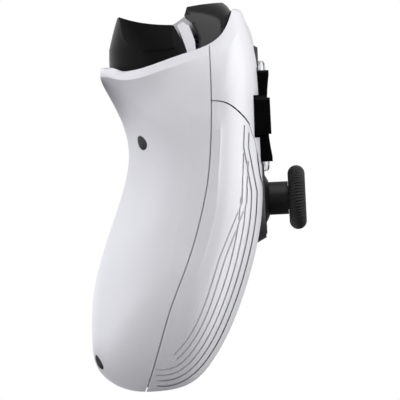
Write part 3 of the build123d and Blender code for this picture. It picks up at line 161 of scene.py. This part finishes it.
def soft_light(name, place, side, watts):
    """A square lamp that shines at the middle of the pad."""
    lamp = bpy.data.lights.new(name, "AREA")
    lamp.size = side
    lamp.energy = watts
    lamp_object = bpy.data.objects.new(name, lamp)
    lamp_object.location = place
    lamp_object.rotation_euler = (AIM - Vector(place)).to_track_quat("-Z", "Y").to_euler()
    scene.collection.objects.link(lamp_object)


soft_light("over_face", (-0.10, 0.0, 0.72), side=0.90, watts=5.6)
soft_light("over_shoulders", (-0.36, 0.66, 0.06), side=0.70, watts=3.7)

# The table is a sheet of white acrylic whose top glows in two strips, painted light with no lamp
# under it:
# one behind the grips and one past the shoulders, so that the back of the pad, which lies on it,
# isn't dark.
TABLE_SIDE = 4.0
TABLE_GAP = 0.00005             # room between the table and the pad's lowest point
GLOW = 1.2                      # strength of the painted glow
GLOW_EVERYWHERE = 0.04          # share of it that spreads through the whole sheet
bpy.ops.object.select_all(action="DESELECT")
bpy.ops.mesh.primitive_plane_add(size=TABLE_SIDE, location=(0, 0, cad_box[0][2] - TABLE_GAP))
table = bpy.context.object
table.name = "table_top"
acrylic = Paint(bpy.data.materials.new("acrylic"))
spot = acrylic.add("ShaderNodeSeparateXYZ", {},
                   {0: acrylic.add("ShaderNodeTexCoord", {}, {})["Object"]})


def strip(value, start, full, fading, end):
    """Painted glow between start and end, at its full strength between the two middle values."""
    return acrylic.step(value, start, full) * acrylic.step(value, fading, end, 1.0, 0.0)


# Painted glow on the table's top, in two strips; no lamp stands under it.
behind_grips = strip(spot["Y"], -0.064, -0.036, 0.010, 0.024)
past_shoulders = strip(spot["Y"], 0.030, 0.036, 0.044, 0.056)
beneath = acrylic.step(abs(spot["X"]), 0.065, 0.110, 0.44, 0.18)
near_pad = acrylic.step(abs(spot["X"]), 0.070, 0.090, 0.8, 0.0)
painted_glow = behind_grips * beneath + past_shoulders * near_pad + GLOW_EVERYWHERE
sheet = acrylic.add("ShaderNodeBsdfPrincipled", {},
                    {"Base Color": (0.60, 0.60, 0.615, 1), "Roughness": 0.6,
                     "Emission Color": painted_glow, "Emission Strength": GLOW})
table.data.materials.append(acrylic.end("ShaderNodeOutputMaterial", sheet))


# Rear shell, front shell and grip panels: the back of the case, the frame round the face and
# the outer grips, all moulded in white plastic with a fine satin skin and faint flow marks.
class Surface(Paint):
    """A material that ends in one Principled shader."""

    def __init__(self, name):
        super().__init__(bpy.data.materials.new(name))
        self.place = self.add("ShaderNodeTexCoord", {}, {})["Object"]

    def noise(self, scale, detail=2.0):
        """Even noise, with its scale in cycles to the metre."""
        return self.add("ShaderNodeTexNoise", {}, {"Vector": self.place, "Scale": scale,
                                                   "Detail": detail, "Roughness": 0.5})

    def blend(self, share, first, second):
        """Colour that goes from the first to the second."""
        node = self.tree.nodes.new("ShaderNodeMix")
        node.data_type = "RGBA"
        sockets = [s for s in node.inputs if s.type == "RGBA"]
        for socket, value in zip([node.inputs[0]] + sockets, (share, first, second)):
            if isinstance(value, Wire):
                self.tree.links.new(value.socket, socket)
            else:
                socket.default_value = value
        return Wire(self, next(s for s in node.outputs if s.type == "RGBA"))

    def bump(self, height, distance, strength=1.0, under=None):
        """Relief of a height in metres, over another relief where one is given."""
        inputs = {"Height": height, "Distance": distance, "Strength": strength}
        if under is not None:
            inputs["Normal"] = under
        return self.add("ShaderNodeBump", {}, inputs)

    def finish(self, **inputs):
        """The finished material, with one Principled shader of these inputs."""
        named = {key.replace("_", " "): value for key, value in inputs.items()}
        return self.end("ShaderNodeOutputMaterial",
                        self.add("ShaderNodeBsdfPrincipled", {}, named))


def moulded(name, colour, deep, roughness, sheen=0.5, grain=9000.0, grain_depth=0.000006,
            shade=None):
    """Moulded plastic: two close colours in soft clouds, a fine skin and uneven gloss."""
    paint = Surface(name)
    cloud = paint.noise(28.0, 3.0)
    wave = paint.noise(160.0)
    fine = paint.bump(paint.noise(grain), grain_depth, 0.5)
    skin = paint.blend(paint.step(cloud, 0.35, 0.65), (*colour, 1), (*deep, 1))
    return paint.finish(Base_Color=shade(paint, skin) if shade else skin,
                        Roughness=roughness + (wave - 0.5) * 0.08,
                        Normal=paint.bump(wave, 0.00002, 0.3, fine),
                        Specular_IOR_Level=sheen)


SAME_PLACE = 0.000001
SMOOTH_ANGLE = radians(32)      # faces that meet at less than this belong to one curve


def cad_copy(name):
    """A copy of a CAD node, with doubled vertices merged and without its stored normals."""
    piece = nodes[name].copy()
    piece.data = nodes[name].data.copy()
    piece.data.attributes.remove(piece.data.attributes["custom_normal"])
    piece.name = name + "_skin"
    for key in list(piece.keys()):
        if key.startswith("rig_"):
            del piece[key]
    piece.parent = None
    scene.collection.objects.link(piece)
    mesh = bmesh.new()
    mesh.from_mesh(piece.data)
    bmesh.ops.remove_doubles(mesh, verts=mesh.verts, dist=SAME_PLACE)
    mesh.to_mesh(piece.data)
    mesh.free()
    return piece


def fitted(piece, name, body, material):
    """The finished piece, smooth over its curved faces, stands for its CAD node."""
    bpy.ops.object.select_all(action="DESELECT")
    piece.select_set(True)
    bpy.context.view_layer.objects.active = piece
    bpy.ops.object.shade_smooth_by_angle(angle=SMOOTH_ANGLE)
    piece.data.materials.clear()
    piece.data.materials.append(material)
    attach(piece, body)
    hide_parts(name)


# Both shells have a collar, which is a bevel round each shoulder opening, and a hollow runs
# under it on the flank. These lengths and places are in millimetres.
COLLAR_RIM = [(34.2, -3.0), (34.2, 0.6), (34.5, 2.0), (33.7, 5.7), (34.1, 9.8), (36.5, 16.6),
              (39.1, 23.3), (41.8, 29.8), (44.1, 32.7), (47.9, 34.8), (51.5, 35.8), (57.0, 37.0)]
RIM_STEPS = 40                  # samples between two of the rim's points, which are (y, z)
COLLAR_W = 2.4
COLLAR_DROP = 1.3
FACE_WIDENING = 0.33            # how much wider the collar is near the face
HOLLOW_DEPTH = 1.5
HOLLOW_REACH = (2.4, 8.0, 18.0)  # where the hollow starts, is deepest and ends
CUT_LINES = (COLLAR_W, 3.2, 4.0, 5.0, 6.0, 7.0, 8.0, 9.5, 11.0, 12.5, 14.0, 16.0, 18.0)
ON_LINE = 0.005                 # a vertex this near a cut line counts as on it
RIM_WALL = 0.12                 # faces this near the rim are its wall
COLLAR_FROM_X = (46.0, 56.0)    # the collar fades in over this stretch of the shoulder
TIP_FROM, TIP_H = 50.6, 1.1     # over the bumpers the rim ends in a blunt tip of this height
MM = 0.001

# The shell is taken as round a core, which ends this far from the middle. In metres:
CORE_X = 0.045
CORE_Y, CORE_Z = 0.028, 0.021
LOW_CORE_Z = 0.022
FACES_OUT = 0.42                # cosine between an outer face's normal and the way out
SHOULDER_FROM_X = 0.020
LONGEST_EDGES = (0.0060, 0.0030, 0.0018)


def smooth_step(value, low, high):
    t = min(1.0, max(0.0, (value - low) / (high - low)))
    return t * t * (3 - 2 * t)


def rim_curve(points, steps):
    """Smooth line through (y, z) points."""
    line = []
    for four in zip([points[0]] + points, points, points[1:], points[2:] + [points[-1]]):
        for i in range(steps):
            t = i / steps
            line.append([(2 * q + (r - p) * t + (2 * p - 5 * q + 4 * r - s) * t ** 2
                          + (3 * q - p - 3 * r + s) * t ** 3) / 2 for p, q, r, s in zip(*four)])
    return line


rim_samples = rim_curve(COLLAR_RIM, RIM_STEPS)
rim_tree = KDTree(len(rim_samples))
for index, (y, z) in enumerate(rim_samples):
    rim_tree.insert((0, y, z), index)
rim_tree.balance()


def from_rim(point):
    """Distance in the side view from the shoulder opening's rim, in mm, less near the face,
    where the collar is wider."""
    away = rim_tree.find((0, point.y / MM, point.z / MM))[2]
    return away * (1 - FACE_WIDENING * smooth_step(point.z / MM, 27, 36))


def in_core(x):
    """The nearest x inside the core."""
    return min(CORE_X, max(-CORE_X, x))


def outer_skin(face):
    """Whether a face of a shell is on its outside, and isn't a wall of the rim or of a seam."""
    centre = face.calc_center_median()
    outward = (centre - Vector((in_core(centre.x), CORE_Y, CORE_Z))).normalized()
    beyond_rim = max(from_rim(v.co) for v in face.verts) > RIM_WALL
    return face.normal.dot(outward) > FACES_OUT and beyond_rim


def collar_drop(point):
    """How far the shell's skin lies under the plain body round a shoulder opening, in mm."""
    away = from_rim(point)
    bevel = COLLAR_DROP * max(0.0, 1 - away / COLLAR_W)
    along = smooth_step(point.z / MM, 0, 6) * (1 - smooth_step(point.z / MM, 10, 27))
    first, deepest, last = HOLLOW_REACH
    fall = min(1.0, max(0.0, (away - first) / (deepest - first)))
    hollow = HOLLOW_DEPTH * fall * (2 - fall) * (1 - smooth_step(away, deepest, last)) * along
    return (bevel + hollow) * smooth_step(abs(point.x) / MM, *COLLAR_FROM_X)


def contour(mesh, layer, away):
    """New edges across the marked faces, along the line at a distance from the rim."""
    edges = {edge for face in mesh.faces if face[layer] for edge in face.edges}
    lengths = {vertex: from_rim(vertex.co) - away for edge in edges for vertex in edge.verts}
    on_line = [vertex for vertex, length in lengths.items() if abs(length) < ON_LINE]
    for edge in edges:
        first, last = edge.verts
        near = min(abs(lengths[first]), abs(lengths[last])) < ON_LINE
        if near or lengths[first] * lengths[last] > 0:
            continue
        low, high = 0.0, 1.0
        for _ in range(9):
            middle = (low + high) / 2
            if (from_rim(first.co.lerp(last.co, middle)) - away) * lengths[first] > 0:
                low = middle
            else:
                high = middle
        on_line.append(bmesh.utils.edge_split(edge, first, low)[1])
    bmesh.ops.connect_verts(mesh, verts=on_line)


def with_collar(piece):
    """Bevel and hollow cut into the outer skin of a shell, and its tip blunted."""
    mesh = bmesh.new()
    mesh.from_mesh(piece.data)
    mesh.normal_update()
    layer = mesh.faces.layers.int.new("skin")
    for face in mesh.faces:
        if abs(face.calc_center_median().x) > SHOULDER_FROM_X and outer_skin(face):
            face[layer] = min(from_rim(v.co) for v in face.verts) < CUT_LINES[-1]
    for longest in LONGEST_EDGES:
        edges = {edge for face in mesh.faces if face[layer] for edge in face.edges}
        bmesh.ops.subdivide_edges(mesh, edges=[e for e in edges if e.calc_length() > longest],
                                  cuts=1)
    for away in CUT_LINES:
        contour(mesh, layer, away)
    skin = {vertex for face in mesh.faces if face[layer] for vertex in face.verts}
    for edge in {edge for vertex in skin for edge in vertex.link_edges}:
        edge.smooth = any(abs(from_rim(v.co) - COLLAR_W) > 0.02 for v in edge.verts)
    for vertex in skin:
        x, y, z = vertex.co
        under = (z - LOW_CORE_Z) * (1 - smooth_step(z / MM, 2, 9))
        outward = Vector((x - in_core(x), 0, under)).normalized()
        vertex.co -= outward * collar_drop(vertex.co) * MM
    for vertex in mesh.verts:
        over = max(0.0, vertex.co.y / MM - TIP_FROM) * smooth_step(vertex.co.z / MM, 33, 35)
        vertex.co.y -= (over - TIP_H * (1 - exp(-over / TIP_H))) * MM
    bmesh.ops.triangulate(mesh, faces=[face for face in mesh.faces if face[layer]])
    mesh.faces.layers.int.remove(layer)
    mesh.to_mesh(piece.data)
    mesh.free()
    return piece


SCREW_PLACES = ((0.066, 0.0142), (0.057, -0.046), (0.016, 0.040))
SCREW_HOLE_R = 0.0019
# Dark grey painted as shade on the walls of the screw holes.
HOLE_SHADE_GREY = (0.12, 0.12, 0.125, 1)


def painted_hole_shade(paint, skin):
    """The skin's colour, with painted shade inside the screw holes, which little light gets into.
    """
    spot = paint.add("ShaderNodeSeparateXYZ", {}, {0: paint.place})
    flat = paint.add("ShaderNodeCombineXYZ", {}, {"X": abs(spot["X"]), "Y": spot["Y"]})
    nearest = 1.0
    for x, y in SCREW_PLACES:
        away = paint.add("ShaderNodeVectorMath", {"operation": "DISTANCE"},
                         {0: flat, 1: (x, y, 0)})["Value"]
        nearest = paint.add("ShaderNodeMath", {"operation": "MINIMUM"}, {0: away, 1: nearest})
    outside = paint.step(nearest, SCREW_HOLE_R + 0.00003, SCREW_HOLE_R + 0.00012)
    # Painted shade: the skin turns dark grey inside each screw hole.
    return paint.blend(outside, HOLE_SHADE_GREY, skin)


WHITE = (0.78, 0.78, 0.815)
WHITE_DEEP = (0.755, 0.755, 0.79)
white_plastic = moulded("white_plastic", WHITE, WHITE_DEEP, 0.30)
# The rear shell's plastic has painted shade inside its screw holes.
rear_plastic = moulded("rear_plastic", WHITE, WHITE_DEEP, 0.30, shade=painted_hole_shade)
for shell, plastic in (("rear_shell", rear_plastic), ("front_shell", white_plastic)):
    fitted(with_collar(cad_copy(shell)), shell, "casing", plastic)
for side in ("left", "right"):
    grip = side + "_grip_panel"
    fitted(cad_copy(grip), grip, "casing", white_plastic)


# Case screws: black zinc-plated steel, sunk in the back's six holes, their heads turned in a
# lathe.
def metal(name, colour, roughness, lines, across=(1.0, 1.0, 1.0)):
    """Worked metal: fine lines of the tool, cloudy gloss and a thin tarnish."""
    paint = Surface(name)
    drawn = paint.add("ShaderNodeMapping", {}, {"Vector": paint.place, "Scale": across})
    grooves = paint.add("ShaderNodeTexNoise", {},
                        {"Vector": drawn, "Scale": lines, "Detail": 3.0})
    cloud = paint.noise(220.0, 3.0)
    tarnish = paint.blend(paint.step(cloud, 0.35, 0.75), (*colour, 1),
                          (*(part * 0.72 for part in colour), 1))
    return paint.finish(Base_Color=tarnish, Metallic=1.0,
                        Roughness=roughness + (cloud - 0.5) * 0.15,
                        Normal=paint.bump(grooves, 0.00001, 0.5))


def dress(name, material):
    """A CAD node that stays takes the material."""
    for slot in nodes[name].material_slots:
        slot.material = material


black_zinc = metal("black_zinc", (0.06, 0.06, 0.065), 0.38, 3000.0)
dress("case_screws", black_zinc)

# Middle frame: the pale strip between each trigger and bumper, in the shells' plastic with a
# flatter skin. The shells hold it between them.
frame_plastic = moulded("frame_plastic", (0.72, 0.72, 0.75), (0.69, 0.69, 0.72), 0.42)
fitted(cad_copy("middle_frame"), "middle_frame", "casing", frame_plastic)

# Centre panel and the trim rings round the sticks: thin dark grey mouldings with a
# spark-eroded, nearly dull skin, pressed into the front shell.
FLAT_ANGLE = radians(0.6)       # faces that meet at less than this are one flat face
SHARP_ANGLE = radians(38)       # edges sharper than this are rounded


def eased(piece, width):
    """The piece with its sharp edges rounded a little, as every moulding's are."""
    bpy.ops.object.select_all(action="DESELECT")
    piece.select_set(True)
    bpy.context.view_layer.objects.active = piece
    bpy.ops.object.mode_set(mode="EDIT")
    bpy.ops.mesh.select_all(action="SELECT")
    bpy.ops.mesh.dissolve_limited(angle_limit=FLAT_ANGLE)
    bpy.ops.object.mode_set(mode="OBJECT")
    ease = piece.modifiers.new("ease", "BEVEL")
    ease.width = width
    ease.segments = 2
    ease.limit_method = "ANGLE"
    ease.angle_limit = SHARP_ANGLE
    bpy.ops.object.modifier_apply(modifier="ease")
    return piece


panel_plastic = moulded("panel_plastic", (0.034, 0.034, 0.037), (0.027, 0.027, 0.030), 0.45,
                        0.4, 5200.0, 0.00001)
fitted(eased(cad_copy("centre_panel"), 0.0002), "centre_panel", "casing",
       panel_plastic)
for side in ("left", "right"):
    ring = side + "_stick_ring"
    fitted(cad_copy(ring), ring, "casing", panel_plastic)

# Triggers: black satin plastic, finely grained for the fingers, with a crease round a broad
# finger pad. Each turns on a steel pin, and a spring of wound steel wire pushes it out.
satin_black = moulded("satin_black", (0.0030, 0.0030, 0.0032), (0.0022, 0.0022, 0.0024), 0.36,
                      0.08, 6400.0, 0.000012)
ground_steel = metal("ground_steel", (0.62, 0.62, 0.63), 0.22, 2600.0, (8.0, 1.0, 1.0))
spring_wire = metal("spring_wire", (0.50, 0.50, 0.51), 0.30, 4000.0)
for side in ("left", "right"):
    trigger = side + "_trigger"
    fitted(eased(cad_copy(trigger), 0.00025), trigger, trigger, satin_black)
    dress(trigger + "_pin", ground_steel)
    dress(trigger + "_spring", spring_wire)

# Bumpers: polished black plastic. Each rocks on an upright steel pin beside the bridge, and
# presses a small switch at its outer end.
gloss_black = moulded("gloss_black", (0.008, 0.008, 0.009), (0.006, 0.006, 0.007), 0.15, 0.25)
nylon = moulded("nylon", (0.018, 0.018, 0.019), (0.013, 0.013, 0.014), 0.5, 0.4, 5200.0)
for side in ("left", "right"):
    bumper = side + "_bumper"
    fitted(eased(cad_copy(bumper), 0.00025), bumper, bumper, gloss_black)
    dress(bumper + "_pin", ground_steel)
dress("bumper_switches", nylon)

# Sticks: a satin dome and stem, with a moulded rubber cap pressed over the top. The cap's
# round edge is knurled with slanted ribs, so that a thumb doesn't slip.
STICK_X, STICK_Y = 0.027, 0.0
FACE_Z = 0.0463                 # height of the face plane over the origin
FACE_OUT = (0.0, 0.078459, 0.996917)
FACE_UP = (0.0, 0.996917, -0.078459)
RIBS = 64
RIB_SLANT = 900.0               # radians to the metre of height
RIB_DEPTH = 0.00028
KNURL_FROM = 0.0072             # distance from the stick's axis
stem_black = moulded("stem_black", (0.013, 0.013, 0.014), (0.010, 0.010, 0.011), 0.40, 0.35,
                     6400.0, 0.00001)


def knurled_rubber(name, stick_x):
    """Moulded rubber with slanted ribs round the edge of a stick's cap, with painted shade that
    makes the ribs' troughs darker than their crests.
    """
    paint = Surface(name)
    centred = paint.add("ShaderNodeVectorMath", {"operation": "SUBTRACT"},
                        {0: paint.place, 1: (stick_x, STICK_Y, FACE_Z)})
    across = paint.add("ShaderNodeSeparateXYZ", {}, {0: centred})["X"]
    height, up = [paint.add("ShaderNodeVectorMath", {"operation": "DOT_PRODUCT"},
                            {0: centred, 1: way})["Value"] for way in (FACE_OUT, FACE_UP)]
    angle = paint.add("ShaderNodeMath", {"operation": "ARCTAN2"}, {0: up, 1: across})
    rib = paint.add("ShaderNodeMath", {"operation": "SINE"},
                    {0: angle * RIBS + height * RIB_SLANT})
    radius = paint.add("ShaderNodeMath", {"operation": "SQRT"}, {0: across * across + up * up})
    edge = paint.step(radius, KNURL_FROM, KNURL_FROM + 0.0006)
    fine = paint.bump(paint.noise(5200.0), 0.00002, 0.5)
    # Painted shade: the colour is darker in the ribs' troughs and lighter on their crests.
    return paint.finish(
        Base_Color=paint.blend(paint.step(rib * edge, -0.9, 0.6), (0.009, 0.009, 0.010, 1),
                               (0.017, 0.017, 0.018, 1)),
        Roughness=0.48 + (paint.noise(300.0) - 0.5) * 0.12,
        Normal=paint.bump(rib * edge, RIB_DEPTH, 1.0, fine), Specular_IOR_Level=0.4)


for side, stick_x in (("left", -STICK_X), ("right", STICK_X)):
    stick = side + "_stick"
    fitted(cad_copy(stick), stick, stick, stem_black)
    cap = stick + "_cap"
    fitted(cad_copy(cap), cap, stick, knurled_rubber(cap + "_rubber", stick_x))

# Stick modules: on the board under each stick stands a black nylon housing, and in it two
# nested yokes of slippery white acetal that turn two sensors.
acetal = moulded("acetal", (0.62, 0.61, 0.57), (0.58, 0.57, 0.53), 0.38, 0.5, 3800.0)
for side in ("left", "right"):
    dress(side + "_stick_housing", nylon)
    dress(side + "_stick_outer_yoke", acetal)
    dress(side + "_stick_inner_yoke", acetal)

# Cross pad: one black satin key. It rocks on a post of acetal, and a rocker ring under it
# presses four domes of a moulded silicone sheet.
key_black = moulded("key_black", (0.0022, 0.0022, 0.0024), (0.0016, 0.0016, 0.0018), 0.42,
                    0.06)
silicone = moulded("silicone", (0.34, 0.35, 0.37), (0.31, 0.32, 0.34), 0.55, 0.4, 3000.0,
                   0.00001)
fitted(eased(cad_copy("cross_pad"), 0.0003), "cross_pad", "cross_pad",
       key_black)
dress("pad_post", acetal)
dress("pad_rocker", acetal)
dress("pad_membrane", silicone)

# Face buttons: four cores in pale plastic, each under a clear polished cap that is welded to
# it, on one more silicone sheet.
core_white = moulded("core_white", (0.70, 0.70, 0.72), (0.66, 0.66, 0.68), 0.35)
clear = Surface("clear_cap")
clear_cap = clear.finish(Base_Color=clear.blend(clear.noise(300.0), (0.95, 0.96, 0.97, 1),
                                                (0.91, 0.92, 0.94, 1)),
                         Roughness=0.06 + clear.noise(300.0) * 0.05, IOR=1.25,
                         Transmission_Weight=1.0)
for place in ("top", "bottom", "outer", "inner"):
    button = place + "_button"
    fitted(cad_copy(button + "_core"), button + "_core", button, core_white)
    fitted(cad_copy(button + "_cap"), button + "_cap", button, clear_cap)
dress("button_membrane", silicone)

# Menu buttons: four small gloss black keys between the pad and the face buttons, on a sheet
# of their own.
for use in ("select", "start", "home", "profile"):
    key = use + "_button"
    fitted(eased(cad_copy(key), 0.00012), key, key, gloss_black)
dress("menu_membrane", silicone)

# Main board: glass fibre under green solder mask, with copper runs that show through it, and
# black chips soldered to its lower side. Four small screws hold it.
BOARD_UNDER = 0.0176            # depth of the board's lower side under the face plane
FACE_HEIGHT = 0.046157          # the face plane's distance from the origin
mask = Surface("solder_mask")
level = mask.add("ShaderNodeVectorMath", {"operation": "DOT_PRODUCT"},
                 {0: mask.place, 1: FACE_OUT})["Value"]
depth = FACE_HEIGHT - level
runs = mask.add("ShaderNodeTexVoronoi", {"feature": "DISTANCE_TO_EDGE"},
                {"Vector": mask.place, "Scale": 420.0})
run_share = mask.step(runs, 0.05, 0.12, 1.0, 0.0)
green = mask.blend(run_share, (0.010, 0.085, 0.040, 1), (0.018, 0.160, 0.070, 1))
chip_share = mask.step(depth, BOARD_UNDER + 0.00002, BOARD_UNDER + 0.00006)
board_finish = mask.finish(Base_Color=mask.blend(chip_share, green, (0.016, 0.016, 0.017, 1)),
                           Roughness=0.32 + mask.noise(500.0) * 0.12,
                           Normal=mask.bump(run_share, 0.00003, 0.6))
dress("main_board", board_finish)
dress("board_screws", black_zinc)

# Sockets: folded and plated steel round the data socket, and a turned nose on the block of
# the headset socket, which is nylon. Both are soldered to the board.
plated_steel = metal("plated_steel", (0.64, 0.64, 0.64), 0.28, 1800.0, (1.0, 6.0, 1.0))
dress("usb_port", plated_steel)
dress("audio_jack", nylon)

# Battery: a soft cell in crinkled, silver-grey laminated film, glued to the rear shell.
film = Surface("cell_film")
crinkle = film.add("ShaderNodeTexVoronoi", {"feature": "SMOOTH_F1"},
                   {"Vector": film.place, "Scale": 170.0, "Smoothness": 0.6})
cell_film = film.finish(Base_Color=film.blend(film.noise(90.0, 3.0), (0.46, 0.47, 0.50, 1),
                                              (0.36, 0.37, 0.40, 1)),
                        Metallic=0.6, Roughness=0.34 + film.noise(400.0) * 0.1,
                        Normal=film.bump(crinkle, 0.0002, 0.5))
dress("battery", cell_film)

# Rumble motors: drawn steel cans in cradles in the grips, each with an off-centre weight of
# sintered metal on its shaft.
sintered = metal("sintered", (0.30, 0.29, 0.28), 0.55, 1400.0)
for side in ("left", "right"):
    dress(side + "_rumble_motor", plated_steel)
    dress(side + "_rumble_weight", sintered)
